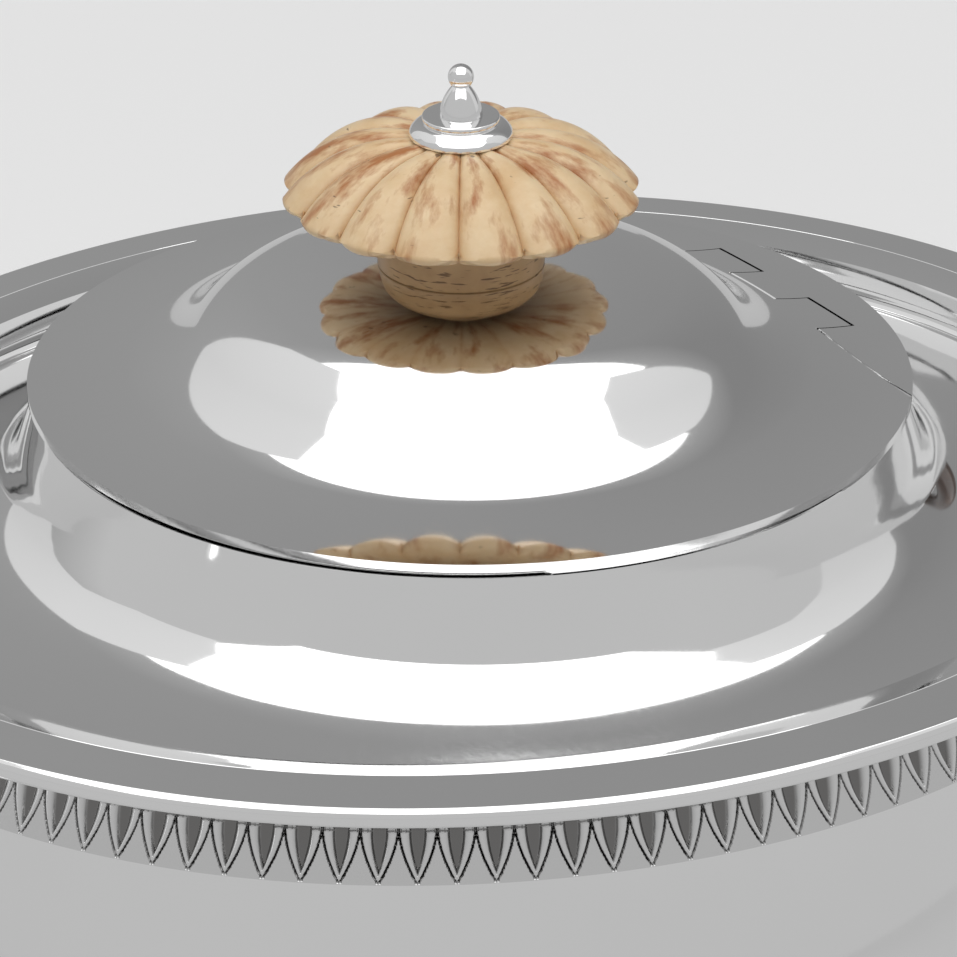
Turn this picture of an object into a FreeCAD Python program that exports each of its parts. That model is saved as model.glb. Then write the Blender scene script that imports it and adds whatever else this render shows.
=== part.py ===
"""Oval silver teapot with a flush-hinged round lid and a scalloped bone finial.

The long axis of the oval is X: the spout points to -X and the handle to +X.
The origin is on the table under the centre of the lid, and Z points up.
"""
import FreeCAD, Part
import math
import os

import Sketcher
from FreeCAD import Rotation, Vector

doc = FreeCAD.newDocument("teapot")
sheet = doc.addObject("Spreadsheet::Sheet", "size")

# Driving dimensions in millimetres and degrees
SIZES = {
    "body_wall": 1.2,
    "oval_extra": 6.5,
    "foot_height": 10.0,
    "foot_flare": 5.0,
    "foot_wall": 1.8,
    "base_width": 40.0,
    "base_land": 4.0,
    "belly_width": 71.0,
    "belly_rise": 40.0,
    "neck_rise": 39.6,
    "groove_lift": 0.6,
    "channel_depth": 4.4,
    "channel_width": 11.0,
    "rim_wire": 2.6,
    "rim_land": 3.4,
    "rim_bulge": 0.9,
    "eave": 7.2,
    "border_height": 4.9,
    "border_lean": 1.8,
    "border_thickness": 1.2,
    "neck_taper": 12.5,
    "seat_inset": 0.8,
    "lid_radius": 43.0,
    "lid_above_rim": 10.2,
    "lid_lip": 0.8,
    "lid_gap": 0.3,
    "lid_wall": 1.0,
    "brim_width": 10.0,
    "brim_rise": 1.6,
    "brim_bend": 48.0,
    "flank_width": 13.0,
    "flank_bend": 14.7,
    "dome_drop": 2.2,
    "dome_bend": 38.0,
    "crown_width": 8.6,
    "crown_rise": 12.2,
    "collar_wall": 1.0,
    "collar_depth": 6.0,
    "collar_gap": 1.1,
    "bezel_wall": 1.0,
    "bezel_depth": 4.0,
    "bezel_gap": 0.4,
    "hinge_inset": 2.2,
    "hinge_depth": 0.2,
    "barrel_radius": 2.22,
    "barrel_gap": 0.06,
    "knuckle_length": 7.7,
    "knuckle_gap": 0.15,
    "hinge_pin_radius": 0.6,
    "hinge_pin_reach": 16.0,
    "hinge_pin_gap": 0.04,
    "trough_gap": 0.3,
    "trough_wall": 0.8,
    "rod_radius": 1.0,
    "rod_gap": 0.05,
    "stem_radius": 8.1,
    "stem_taper": 0.25,
    "stem_side": 2.8,
    "stem_bend": 7.0,
    "stem_neck": 4.2,
    "stem_neck_height": 0.6,
    "stem_height": 8.0,
    "finial_offset": 1.0,
    "cap_radius": 17.3,
    "cap_edge": 1.0,
    "cap_rise": 6.7,
    "cap_land": 0.3,
    "cap_bend": 14.0,
    "cap_hollow": 1.6,
    "lobe_count": 16,
    "lobe_notch": 1.1,
    "washer_radius": 5.0,
    "washer_height": 1.5,
    "disc_radius": 3.75,
    "disc_height": 0.6,
    "bell_radius": 2.1,
    "bell_height": 3.0,
    "bell_neck": 0.85,
    "ball_radius": 1.25,
    "nut_radius": 3.2,
    "nut_height": 2.0,
    "nut_washer_radius": 6.0,
    "nut_washer_height": 0.8,
    "rod_tail": 0.8,
    "spout_wall": 1.2,
    "spout_root_rise": 24.0,
    "spout_sink": 12.0,
    "spout_reach": 73.0,
    "spout_rise": 72.0,
    "spout_root_width": 13.0,
    "spout_root_extra": 4.0,
    "spout_tip_width": 6.2,
    "spout_tip_extra": 0.8,
    "strainer_hole": 1.6,
    "strainer_pitch": 4.4,
    "strainer_ring_count": 2,
    "socket_root": 8.0,
    "socket_tip": 6.8,
    "upper_socket_drop": 25.0,
    "upper_socket_sink": 9.0,
    "upper_socket_length": 32.0,
    "upper_socket_angle": 60.0,
    "lower_socket_rise": 16.0,
    "lower_socket_sink": 13.0,
    "lower_socket_length": 22.0,
    "tenon_radius": 4.0,
    "tenon_depth": 10.0,
    "handle_width": 5.0,
    "handle_extra": 1.2,
    "handle_arch": 15.0,
    "handle_arch_run": 26.0,
    "handle_swell": 26.0,
    "handle_drop": 10.0,
    "handle_pin_radius": 0.9,
    "handle_pin_proud": 0.2,
}
for row, (alias, value) in enumerate(SIZES.items(), 1):
    sheet.set(f"A{row}", alias)
    sheet.set(f"B{row}", str(value))
    sheet.setAlias(f"B{row}", alias)
doc.recompute()

# Places worked out from the driving dimensions
EXTRA = "size.oval_extra"
GROOVE_WIDTH = "(size.belly_width - size.neck_taper)"
RIM_WIDTH = f"({GROOVE_WIDTH} + size.channel_width)"
RIM_INNER_WIDTH = f"({RIM_WIDTH} - size.rim_wire)"
BORDER_WIDTH = f"({RIM_WIDTH} - size.eave)"
NECK_WIDTH = f"({BORDER_WIDTH} - size.border_thickness)"
SEAT_RADIUS = "(size.lid_radius - size.seat_inset)"
BELLY_LENGTH = "(size.belly_width + size.oval_extra)"

BASE_Z = "size.foot_height"
BELLY_Z = f"({BASE_Z} + size.belly_rise)"
NECK_Z = f"({BELLY_Z} + size.neck_rise)"
GROOVE_Z = f"({NECK_Z} + size.body_wall + size.groove_lift)"
RIM_Z = f"({GROOVE_Z} + size.channel_depth)"
LID_Z = f"({RIM_Z} + size.lid_above_rim)"
LIP_Z = f"({LID_Z} - size.lid_lip)"
SEAT_Z = f"({LIP_Z} - size.lid_gap)"
CROWN_Z = f"({LID_Z} + size.crown_rise)"
CROWN_UNDER_Z = f"({CROWN_Z} - size.lid_wall)"

BRIM_RADIUS = "(size.lid_radius - size.brim_width)"
HINGE_X = f"({BRIM_RADIUS} + size.hinge_inset)"
HINGE_Z = f"({LID_Z} - size.hinge_depth)"
SLOT_RADIUS = "(size.barrel_radius + size.trough_gap)"
TROUGH_RADIUS = f"({SLOT_RADIUS} + size.trough_wall)"
COLLAR_RADIUS = f"({HINGE_X} - {TROUGH_RADIUS} - size.collar_gap)"
MOUTH_RADIUS = f"({COLLAR_RADIUS} - size.collar_wall)"
BEZEL_RADIUS = f"({MOUTH_RADIUS} - size.bezel_gap)"

FINIAL_X = "(-size.finial_offset)"
CAP_Z = f"({CROWN_Z} + size.stem_height - size.cap_hollow)"
WASHER_Z = f"({CAP_Z} + size.cap_rise)"
DISC_Z = f"({WASHER_Z} + size.washer_height)"
BELL_Z = f"({DISC_Z} + size.disc_height)"
NUT_WASHER_Z = f"({CROWN_UNDER_Z} - size.nut_washer_height)"
NUT_Z = f"({NUT_WASHER_Z} - size.nut_height)"
ROD_BORE = "(size.rod_radius + size.rod_gap)"

UP_Y = Rotation(Vector(1, 0, 0), -90)


def number(expression):
    """The present value of an expression."""
    result = sheet.evalExpression(expression)
    return getattr(result, "Value", result)


def bind(item, expressions):
    """Tie properties of an object to expressions of the sheet."""
    for name, expression in expressions.items():
        item.setExpression(name, expression)
    return item


def oval(name, width, extra, z):
    """A level oval, with its half width and what its half length has beyond that."""
    ring = doc.addObject("Part::Ellipse", name)
    return bind(ring, {
        "MinorRadius": width,
        "MajorRadius": f"{width} + {extra}",
        "Placement.Base.z": z,
    })


def loft(name, sections, ruled=False):
    """A solid through closed sections."""
    skin = doc.addObject("Part::Loft", name)
    skin.Sections = sections
    skin.Solid = True
    skin.Ruled = ruled
    return skin


def oval_loft(name, rings, ruled=False):
    """A solid through level ovals, each given as half width, extra length and height."""
    sections = [oval(f"{name}_{i}", *ring) for i, ring in enumerate(rings)]
    return loft(name, sections, ruled)


def cut(name, base, tool):
    """The base with the tool taken away."""
    item = doc.addObject("Part::Cut", name)
    item.Base = base
    item.Tool = tool
    return item


def fuse(name, shapes):
    """Several solids joined."""
    item = doc.addObject("Part::MultiFuse", name)
    item.Shapes = shapes
    return item


def common(name, shapes):
    """What several solids share."""
    item = doc.addObject("Part::MultiCommon", name)
    item.Shapes = shapes
    return item


def group(name, links):
    """Separate solids in one piece list."""
    item = doc.addObject("Part::Compound", name)
    item.Links = links
    return item


def upright(name, radius, height, z, x="0"):
    """A round bar along Z."""
    bar = doc.addObject("Part::Cylinder", name)
    return bind(bar, {"Radius": radius, "Height": height, "Placement.Base.x": x, "Placement.Base.z": z})


def tube(name, outer, inner, height, z, x="0"):
    """A round ring along Z."""
    return cut(name, upright(f"{name}_outer", outer, height, z, x),
               upright(f"{name}_inner", inner, height, z, x))


def crosswise(name, radius, start_y, length, x, z):
    """A round bar along Y."""
    bar = doc.addObject("Part::Cylinder", name)
    bar.Placement.Rotation = UP_Y
    return bind(bar, {
        "Radius": radius,
        "Height": length,
        "Placement.Base.x": x,
        "Placement.Base.y": start_y,
        "Placement.Base.z": z,
    })


def leaning(angle):
    """Turn of an upright thing so that it points to +X, raised by an angle."""
    return Rotation(Vector(0, 1, 0), 90 - angle)


def station(name, x, z, angle, width, extra):
    """An oval section in the plane of the spout and handle, square to its path."""
    ring = doc.addObject("Part::Ellipse", name)
    ring.Placement.Rotation = leaning(angle)
    return bind(ring, {
        "MinorRadius": width,
        "MajorRadius": f"{width} + {extra}",
        "Placement.Base.x": x,
        "Placement.Base.z": z,
    })


def arc_between(start, end, radius, turn):
    """An arc of a sketch, turning left (1) or right (-1) from start to end."""
    chord = end - start
    half = chord.Length / 2
    left = Vector(-chord.y, chord.x, 0).normalize()
    centre = start + chord * 0.5 + left * turn * math.sqrt(max(radius ** 2 - half ** 2, 0))
    first, last = (start, end) if turn > 0 else (end, start)
    angles = [math.atan2(point.y - centre.y, point.x - centre.x) for point in (first, last)]
    return Part.ArcOfCircle(Part.Circle(centre, Vector(0, 0, 1), radius), *angles)


def fix_point(sketch, geometry, end, coordinates):
    """Tie one end of a sketch line to a radius and a height."""
    for axis, kind, line in ((0, "DistanceX", -2), (1, "DistanceY", -1)):
        expression = coordinates[axis]
        if expression == "0":
            sketch.addConstraint(Sketcher.Constraint("PointOnObject", geometry, end, line))
            continue
        index = sketch.addConstraint(
            Sketcher.Constraint(kind, -1, 1, geometry, end, number(expression)))
        sketch.setExpression(f"Constraints[{index}]", expression)


def turned(name, z, outline, x="0"):
    """A turned piece. Each corner has a radius, a height and, where an arc starts, its bend."""
    body = doc.addObject("PartDesign::Body", name)
    bind(body, {"Placement.Base.x": x, "Placement.Base.z": z})
    sketch = body.newObject("Sketcher::SketchObject", f"{name}_outline")
    planes = {plane.Role: plane for plane in body.Origin.OriginFeatures}
    sketch.AttachmentSupport = (planes["XZ_Plane"], [""])
    sketch.MapMode = "FlatFace"
    corners = [Vector(number(corner[0]), number(corner[1]), 0) for corner in outline]
    starts = []
    ends = []
    for i, corner in enumerate(outline):
        start = corners[i]
        end = corners[(i + 1) % len(corners)]
        bend = corner[2] if len(corner) > 2 else None
        if bend is None:
            geometry = sketch.addGeometry(Part.LineSegment(start, end), False)
            turn = 1
        else:
            radius, turn = bend
            arc = arc_between(start, end, number(radius), turn)
            geometry = sketch.addGeometry(arc, False)
            index = sketch.addConstraint(Sketcher.Constraint("Radius", geometry, number(radius)))
            sketch.setExpression(f"Constraints[{index}]", radius)
        starts.append((geometry, 1 if turn > 0 else 2))
        ends.append((geometry, 2 if turn > 0 else 1))
    for i, start in enumerate(starts):
        fix_point(sketch, *start, outline[i])
        sketch.addConstraint(Sketcher.Constraint("Coincident", *ends[i - 1], *start))
    turning = body.newObject("PartDesign::Revolution", f"{name}_turning")
    turning.Profile = sketch
    turning.ReferenceAxis = (sketch, ["V_Axis"])
    turning.Angle = 360
    body.Tip = turning
    return body


def belly_rings(inset, top):
    """Ovals of the belly from its flat base up to the neck, moved in by a wall."""
    rings = []
    for angle in (90, 75, 60, 45, 30, 15):
        out = math.cos(math.radians(angle))
        down = math.sin(math.radians(angle))
        width = (f"size.base_width + (size.belly_width - size.base_width) * {out:.5f}"
                 f" - {inset} * {out:.5f}")
        height = f"{BELLY_Z} - size.belly_rise * {down:.5f} + {inset} * {down:.5f}"
        rings.append((f"({width})", EXTRA, height))
    for share in (0.0, 0.25, 0.45, 0.65, 0.8, 1.0):
        swell = 1 - share ** 2
        width = f"{NECK_WIDTH} + (size.belly_width - {NECK_WIDTH}) * {swell:.5f} - {inset}"
        height = f"{BELLY_Z} + (size.neck_rise + {top}) * {share}"
        rings.append((f"({width})", EXTRA, height))
    return rings


# Stations of the neck from the seat to the groove: share of run, share of depth and tilt in degrees
NECK_STATIONS = (
    (0.000, 0.000, 77),
    (0.036, 0.180, 74),
    (0.077, 0.357, 71),
    (0.099, 0.444, 68),
    (0.127, 0.531, 63),
    (0.161, 0.611, 55),
    (0.206, 0.682, 45),
    (0.258, 0.742, 36),
    (0.317, 0.791, 29),
    (0.380, 0.831, 23),
    (0.445, 0.863, 18),
    (0.578, 0.914, 14.5),
    (0.714, 0.955, 11.4),
    (0.851, 0.986, 7),
    (1.000, 1.000, 0),
)


def neck_rings(inset):
    """Ovals of the hollow neck, steep and round under the lid, level and oval at the groove."""
    rings = []
    for run, depth, tilt in NECK_STATIONS:
        upright_share = math.sin(math.radians(tilt))
        level_share = math.cos(math.radians(tilt)) if run else 1
        width = (f"{SEAT_RADIUS} + ({GROOVE_WIDTH} - {SEAT_RADIUS}) * {run}"
                 f" - {inset} * {upright_share:.5f}")
        height = f"{SEAT_Z} - ({SEAT_Z} - {GROOVE_Z}) * {depth} - {inset} * {level_share:.5f}"
        rings.append((f"({width})", f"{EXTRA} * {run}", height))
    return rings


def channel_rings():
    """Ovals of the hollow channel that rises from the groove to the rim."""
    top_width = f"({RIM_INNER_WIDTH} - size.rim_land)"
    rings = []
    for angle in (0, 30, 55, 75, 90):
        run = math.sin(math.radians(angle))
        lift = 1 - math.cos(math.radians(angle))
        width = f"({GROOVE_WIDTH} + ({top_width} - {GROOVE_WIDTH}) * {run:.5f})"
        rings.append((width, EXTRA, f"{GROOVE_Z} + size.channel_depth * {lift:.5f}"))
    return rings


def wire_rings():
    """Ovals of the rounded outside of the rim wire."""
    rings = []
    for angle in (-90, -50, 0, 50, 90):
        out = 1 - math.cos(math.radians(angle))
        up = (1 + math.sin(math.radians(angle))) / 2
        rings.append((f"({RIM_WIDTH} - size.rim_bulge * {out:.5f})", EXTRA,
                      f"{RIM_Z} - size.rim_wire * {1 - up:.5f}"))
    return rings


def ogee(inset, floor):
    """Corners of the lid's crown, dome and flank, moved in by a wall, above a local floor."""
    drop = "(size.crown_rise - size.dome_drop - size.brim_rise)"
    slope = f"atan({drop} / size.flank_width)"
    swing = f"asin(sqrt(size.flank_width ^ 2 + {drop} ^ 2) / (4 * size.flank_bend))"
    steep = f"({slope} + {swing})"
    gentle = f"({slope} - {swing})"
    crown = f"(size.crown_rise - {inset} + {floor})"
    return [
        ("0", crown),
        ("size.crown_width", crown, (f"(size.dome_bend - {inset})", -1)),
        (f"({BRIM_RADIUS} - size.flank_width - {inset} * sin({gentle}))",
         f"(size.crown_rise - size.dome_drop - {inset} * cos({gentle}) + {floor})",
         (f"(size.flank_bend - {inset})", -1)),
        (f"({BRIM_RADIUS} - size.flank_width / 2 - {inset} * sin({steep}))",
         f"(size.brim_rise + {drop} / 2 - {inset} * cos({steep}) + {floor})",
         (f"(size.flank_bend + {inset})", 1)),
        (f"({BRIM_RADIUS} - {inset} * sin({gentle}))",
         f"(size.brim_rise - {inset} * cos({gentle}) + {floor})"),
    ]


# Belly, base and foot
belly_outer = oval_loft("belly_outer", belly_rings("0", "0"), ruled=True)
belly_inner = oval_loft("belly_inner", belly_rings("size.body_wall", "size.body_wall"), ruled=True)
plate_width = "(size.base_width - size.base_land)"
base_plate = oval_loft("base_plate", [
    (plate_width, EXTRA, BASE_Z),
    (plate_width, EXTRA, f"{BASE_Z} + size.body_wall"),
], ruled=True)
foot_outer = oval_loft("foot_outer", [
    ("(size.base_width + size.foot_flare)", EXTRA, "0"),
    ("(size.base_width + size.foot_flare)", EXTRA, "size.foot_wall"),
    ("(size.base_width + size.foot_flare - size.foot_wall)", EXTRA, "size.foot_wall"),
    ("size.base_width", EXTRA, BASE_Z),
], ruled=True)
foot_inner = oval_loft("foot_inner", [
    ("(size.base_width + size.foot_flare - 2 * size.foot_wall)", EXTRA, "0"),
    ("(size.base_width - size.foot_wall)", EXTRA, BASE_Z),
], ruled=True)
foot_ring = cut("foot_ring", foot_outer, foot_inner)

# Spout on the -X side, a swan neck of tapering ovals
SPOUT_STATIONS = (
    (0.00, 0.00, 165, 0.00),
    (0.31, 0.11, 145, 0.42),
    (0.52, 0.33, 120, 0.68),
    (0.67, 0.61, 116, 0.83),
    (0.85, 0.875, 130, 0.95),
    (1.00, 1.00, 142, 1.00),
)
SPOUT_X = f"(-{BELLY_LENGTH} + size.spout_sink)"
SPOUT_Z = f"({BASE_Z} + size.spout_root_rise)"


def spout_skin(name, inset):
    """The spout's outside, or its bore with the wall as inset."""
    rings = []
    for i, (along, up, angle, taper) in enumerate(SPOUT_STATIONS):
        width = (f"(size.spout_root_width + (size.spout_tip_width - size.spout_root_width)"
                 f" * {taper} - {inset})")
        extra = f"(size.spout_root_extra + (size.spout_tip_extra - size.spout_root_extra) * {taper})"
        rings.append(station(f"{name}_{i}", f"{SPOUT_X} - size.spout_reach * {along}",
                             f"{SPOUT_Z} + size.spout_rise * {up}", angle, width, extra))
    return loft(name, rings)


spout_tube = cut("spout_tube", spout_skin("spout_outer", "0"), spout_skin("spout_bore", "size.spout_wall"))
spout = cut("spout", spout_tube, belly_outer)


# Strainer holes through the belly wall behind the spout, one in the middle and rings of them round it
def strainer_holes():
    """Round bars along X that pierce the wall."""
    bars = []
    for ring in range(int(number("size.strainer_ring_count")) + 1):
        count = 6 * ring or 1
        for i in range(count):
            turn = 2 * math.pi * i / count
            bar = doc.addObject("Part::Cylinder", f"strainer_{ring}_{i}")
            bar.Placement.Rotation = leaning(180)
            bars.append(bind(bar, {
                "Radius": "size.strainer_hole",
                "Height": "size.spout_sink * 2",
                "Placement.Base.x": SPOUT_X,
                "Placement.Base.y": f"size.strainer_pitch * {ring * math.cos(turn):.5f}",
                "Placement.Base.z": f"{SPOUT_Z} + size.strainer_pitch * {ring * math.sin(turn):.5f}",
            }))
    return fuse("strainer_holes", bars)


belly_sheet = cut("belly_sheet", belly_outer, belly_inner)
belly_open = cut("belly_open", belly_sheet, base_plate)
body_shell = cut("body_shell", belly_open, strainer_holes())

# Leaf border, rim wire and shoulder plate
border_outer = oval_loft("border_outer", [
    (f"({BORDER_WIDTH} + size.border_lean)", EXTRA, f"{NECK_Z} - size.border_height"),
    (BORDER_WIDTH, EXTRA, NECK_Z),
], ruled=True)
leaf_border = cut("leaf_border", border_outer, belly_outer)
wire_inner = oval_loft("wire_inner", [
    (RIM_INNER_WIDTH, EXTRA, f"{RIM_Z} - size.rim_wire"),
    (RIM_INNER_WIDTH, EXTRA, RIM_Z),
], ruled=True)
rim_wire = cut("rim_wire", oval_loft("wire_outer", wire_rings()), wire_inner)
dish_block = oval_loft("dish_block", [
    (BORDER_WIDTH, EXTRA, NECK_Z),
    (RIM_INNER_WIDTH, EXTRA, f"{RIM_Z} - size.rim_wire"),
    (RIM_INNER_WIDTH, EXTRA, RIM_Z),
], ruled=True)
dish = cut("dish", dish_block, oval_loft("channel", channel_rings(), ruled=True))
neck_floor = (GROOVE_WIDTH, EXTRA, NECK_Z)
neck_inner = oval_loft("neck_inner", neck_rings("size.body_wall") + [neck_floor], ruled=True)
neck_block = fuse("neck_block", [dish, oval_loft("neck_outer", neck_rings("0"), ruled=True)])
neck_sheet = cut("neck_sheet", neck_block, neck_inner)
mouth = upright("mouth", COLLAR_RADIUS, f"{LID_Z} - {NECK_Z}", NECK_Z)
shoulder_ring = cut("shoulder_ring", neck_sheet, mouth)
mouth_collar = tube("mouth_collar", COLLAR_RADIUS, MOUTH_RADIUS, "size.collar_depth",
                    f"{SEAT_Z} - size.collar_depth")

# Lid blank: an ogee turned solid, the hollow under it and the bar that clips the hinge
*lid_top, brim_start = ogee("0", "size.lid_lip")
lid_solid = turned("lid_solid", LIP_Z, lid_top + [
    (*brim_start, ("size.brim_bend", 1)),
    ("size.lid_radius", "size.lid_lip"),
    ("size.lid_radius", "0"),
    ("0", "0"),
])
BEZEL_FLOOR = "(size.lid_lip + size.bezel_depth)"
hollow_top = ogee("size.lid_wall", BEZEL_FLOOR)
lid_hollow = turned("lid_hollow", f"{LID_Z} - {BEZEL_FLOOR}", hollow_top + [
    (hollow_top[-1][0], "0"),
    ("0", "0"),
])
hinge_well = upright("hinge_well", f"({SEAT_RADIUS} - size.body_wall)", f"{LID_Z} - {NECK_Z}", NECK_Z)
lid_column = fuse("lid_column", [lid_solid, hinge_well])

# Hinge barrel: leaf, lid, leaf, lid, leaf along Y
MIDDLE = "(size.knuckle_length / 2)"
OUTER = "(size.knuckle_length * 1.5)"
REACH = "size.lid_radius"


def barrel(name, radius, low, high):
    """A stretch of the hinge barrel between two places along Y."""
    return crosswise(name, radius, low, f"{high} - ({low})", HINGE_X, HINGE_Z)


def leaf_stretches(name, radius, slack):
    """The middle stretch and the two end stretches, which belong to the fixed leaf."""
    return fuse(name, [
        barrel(f"{name}_middle", radius, f"-{MIDDLE} - {slack}", f"{MIDDLE} + {slack}"),
        barrel(f"{name}_right", radius, f"{OUTER} - {slack}", REACH),
        barrel(f"{name}_left", radius, f"-{REACH}", f"-{OUTER} + {slack}"),
    ])


def lid_stretches(name, radius, slack):
    """The two stretches that belong to the lid."""
    return fuse(name, [
        barrel(f"{name}_right", radius, f"{MIDDLE} - {slack}", f"{OUTER} + {slack}"),
        barrel(f"{name}_left", radius, f"-{OUTER} - {slack}", f"-{MIDDLE} + {slack}"),
    ])


def half_space(name, start_x):
    """A block over the whole lid that starts at a place along X."""
    block = doc.addObject("Part::Box", name)
    return bind(block, {
        "Length": "2 * size.lid_radius",
        "Width": "2 * size.lid_radius",
        "Height": f"{CROWN_Z} - {SEAT_Z} + size.lid_wall",
        "Placement.Base.x": start_x,
        "Placement.Base.y": "-size.lid_radius",
        "Placement.Base.z": SEAT_Z,
    })


LOOSE_BARREL = "(size.barrel_radius + size.barrel_gap)"
PIN_BORE = "(size.hinge_pin_radius + size.hinge_pin_gap)"
pin_bore = barrel("pin_bore", PIN_BORE, "-size.hinge_pin_reach", "size.hinge_pin_reach")
hinge_pin = barrel("hinge_pin", "size.hinge_pin_radius", "-size.hinge_pin_reach",
                   "size.hinge_pin_reach")
leaf_seat = barrel("leaf_seat", "size.hinge_pin_radius", "-size.hinge_pin_reach",
                   "size.hinge_pin_reach")
leaf_bars = common("leaf_bars", [leaf_stretches("leaf_bar", "size.barrel_radius", "0"), lid_column])
leaf_knuckles = cut("leaf_knuckles", leaf_bars, leaf_seat)
lid_bars = common("lid_bars", [lid_stretches("lid_bar", "size.barrel_radius", "-size.knuckle_gap"),
                               lid_column])
lid_knuckles = cut("lid_knuckles", lid_bars, pin_bore)

leaf_block = common("leaf_block", [lid_column, half_space("leaf_side", HINGE_X)])
leaf_fitted = cut("leaf_fitted", leaf_block, leaf_stretches("leaf_fit", "size.barrel_radius", "0"))
hinge_leaf = cut("hinge_leaf", leaf_fitted, lid_stretches("leaf_clear", LOOSE_BARREL, "0"))

lid_sheet = cut("lid_sheet", lid_solid, lid_hollow)
lid_disc = cut("lid_disc", lid_sheet, half_space("lid_side", HINGE_X))
lid_fitted = cut("lid_fitted", lid_disc,
                 lid_stretches("lid_fit", "size.barrel_radius", "-size.knuckle_gap"))
lid_clear = cut("lid_clear", lid_fitted, leaf_stretches("lid_loose", LOOSE_BARREL, "size.knuckle_gap"))
rod_hole = upright("rod_hole", ROD_BORE, "size.crown_rise", f"{CROWN_Z} - size.crown_rise / 2", FINIAL_X)
lid_cover = cut("lid_cover", lid_clear, rod_hole)
bezel_tube = tube("bezel_tube", BEZEL_RADIUS, f"({BEZEL_RADIUS} - size.bezel_wall)",
                  f"{CROWN_Z} - {LIP_Z} + size.bezel_depth", f"{LIP_Z} - size.bezel_depth")
lid_bezel = common("lid_bezel", [bezel_tube, lid_hollow])

# Slot for the barrel in the shoulder and the trough under it
slot_bar = barrel("slot_bar", SLOT_RADIUS, f"-{REACH}", REACH)
slot = common("slot", [slot_bar, hinge_well])
shoulder_plate = cut("shoulder_plate", shoulder_ring, slot)
trough_bar = barrel("trough_bar", TROUGH_RADIUS, f"-{REACH}", REACH)
hinge_trough = common("hinge_trough", [cut("trough_tube", trough_bar, slot_bar), neck_inner])

# Finial: bone stem and cap, silver washers and bell, and the rod that holds them on the lid
finial_stem = turned("finial_stem", CROWN_Z, [
    (ROD_BORE, "0"),
    ("size.stem_radius", "0"),
    ("(size.stem_radius - size.stem_taper)", "size.stem_side", ("size.stem_bend", 1)),
    ("size.stem_neck", "(size.stem_height - size.stem_neck_height)"),
    ("size.stem_neck", "size.stem_height"),
    (ROD_BORE, "size.stem_height"),
], FINIAL_X)
finial_cap = turned("finial_cap", CAP_Z, [
    (ROD_BORE, "size.cap_hollow"),
    ("(size.stem_neck + size.cap_land)", "size.cap_hollow"),
    ("(size.cap_radius - 2 * size.cap_edge)", "0"),
    ("(size.cap_radius - size.cap_edge)", "0", ("size.cap_edge", 1)),
    ("size.cap_radius", "size.cap_edge", ("size.cap_bend", 1)),
    ("(size.washer_radius + size.cap_land)", "size.cap_rise"),
    (ROD_BORE, "size.cap_rise"),
], FINIAL_X)


def scallop(cap):
    """Upright notches that part the cap's edge into lobes, repeated all round."""
    notch = cap.newObject("PartDesign::SubtractiveCylinder", "lobe_notch")
    bind(notch, {
        "Radius": "size.lobe_notch",
        "Height": "size.cap_rise",
        "Placement.Base.x": "size.cap_radius * cos(180 deg / size.lobe_count)",
        "Placement.Base.y": "size.cap_radius * sin(180 deg / size.lobe_count)",
    })
    doc.recompute()
    ring = cap.newObject("PartDesign::PolarPattern", "lobe_notches")
    ring.Originals = [notch]
    axes = {axis.Role: axis for axis in cap.Origin.OriginFeatures}
    ring.Axis = (axes["Z_Axis"], [""])
    ring.Angle = 360
    bind(ring, {"Occurrences": "size.lobe_count"})
    cap.Tip = ring


scallop(finial_cap)
finial_lower_washer = turned("finial_lower_washer", WASHER_Z, [
    (ROD_BORE, "0"),
    ("size.washer_radius", "0"),
    ("size.washer_radius", "(size.washer_height / 3)", ("(size.washer_height * 1.4)", 1)),
    ("size.disc_radius", "size.washer_height"),
    (ROD_BORE, "size.washer_height"),
], FINIAL_X)
finial_upper_washer = tube("finial_upper_washer", "size.disc_radius", ROD_BORE, "size.disc_height",
                           DISC_Z, FINIAL_X)
bell_slope = "(size.bell_height * 2)"
ball_centre = "(size.bell_height + sqrt(size.ball_radius ^ 2 - size.bell_neck ^ 2))"
ball_top = f"({ball_centre} + size.ball_radius)"
finial_bell = turned("finial_bell", BELL_Z, [
    ("0", "0"),
    ("size.bell_radius", "0", (bell_slope, -1)),
    ("size.bell_neck", "size.bell_height", ("size.ball_radius", 1)),
    ("0", ball_top),
], FINIAL_X)
finial_rod = upright("finial_rod", "size.rod_radius", f"{BELL_Z} - {NUT_Z} + size.rod_tail",
                     f"{NUT_Z} - size.rod_tail", FINIAL_X)
nut_washer = tube("nut_washer", "size.nut_washer_radius", ROD_BORE, "size.nut_washer_height",
                  NUT_WASHER_Z, FINIAL_X)
nut_block = doc.addObject("Part::Prism", "nut_block")
nut_block.Polygon = 6
bind(nut_block, {"Circumradius": "size.nut_radius", "Height": "size.nut_height",
                 "Placement.Base.x": FINIAL_X, "Placement.Base.z": NUT_Z})
nut_bore = upright("nut_bore", ROD_BORE, "size.nut_height", NUT_Z, FINIAL_X)
finial_nut = cut("finial_nut", nut_block, nut_bore)

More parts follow.
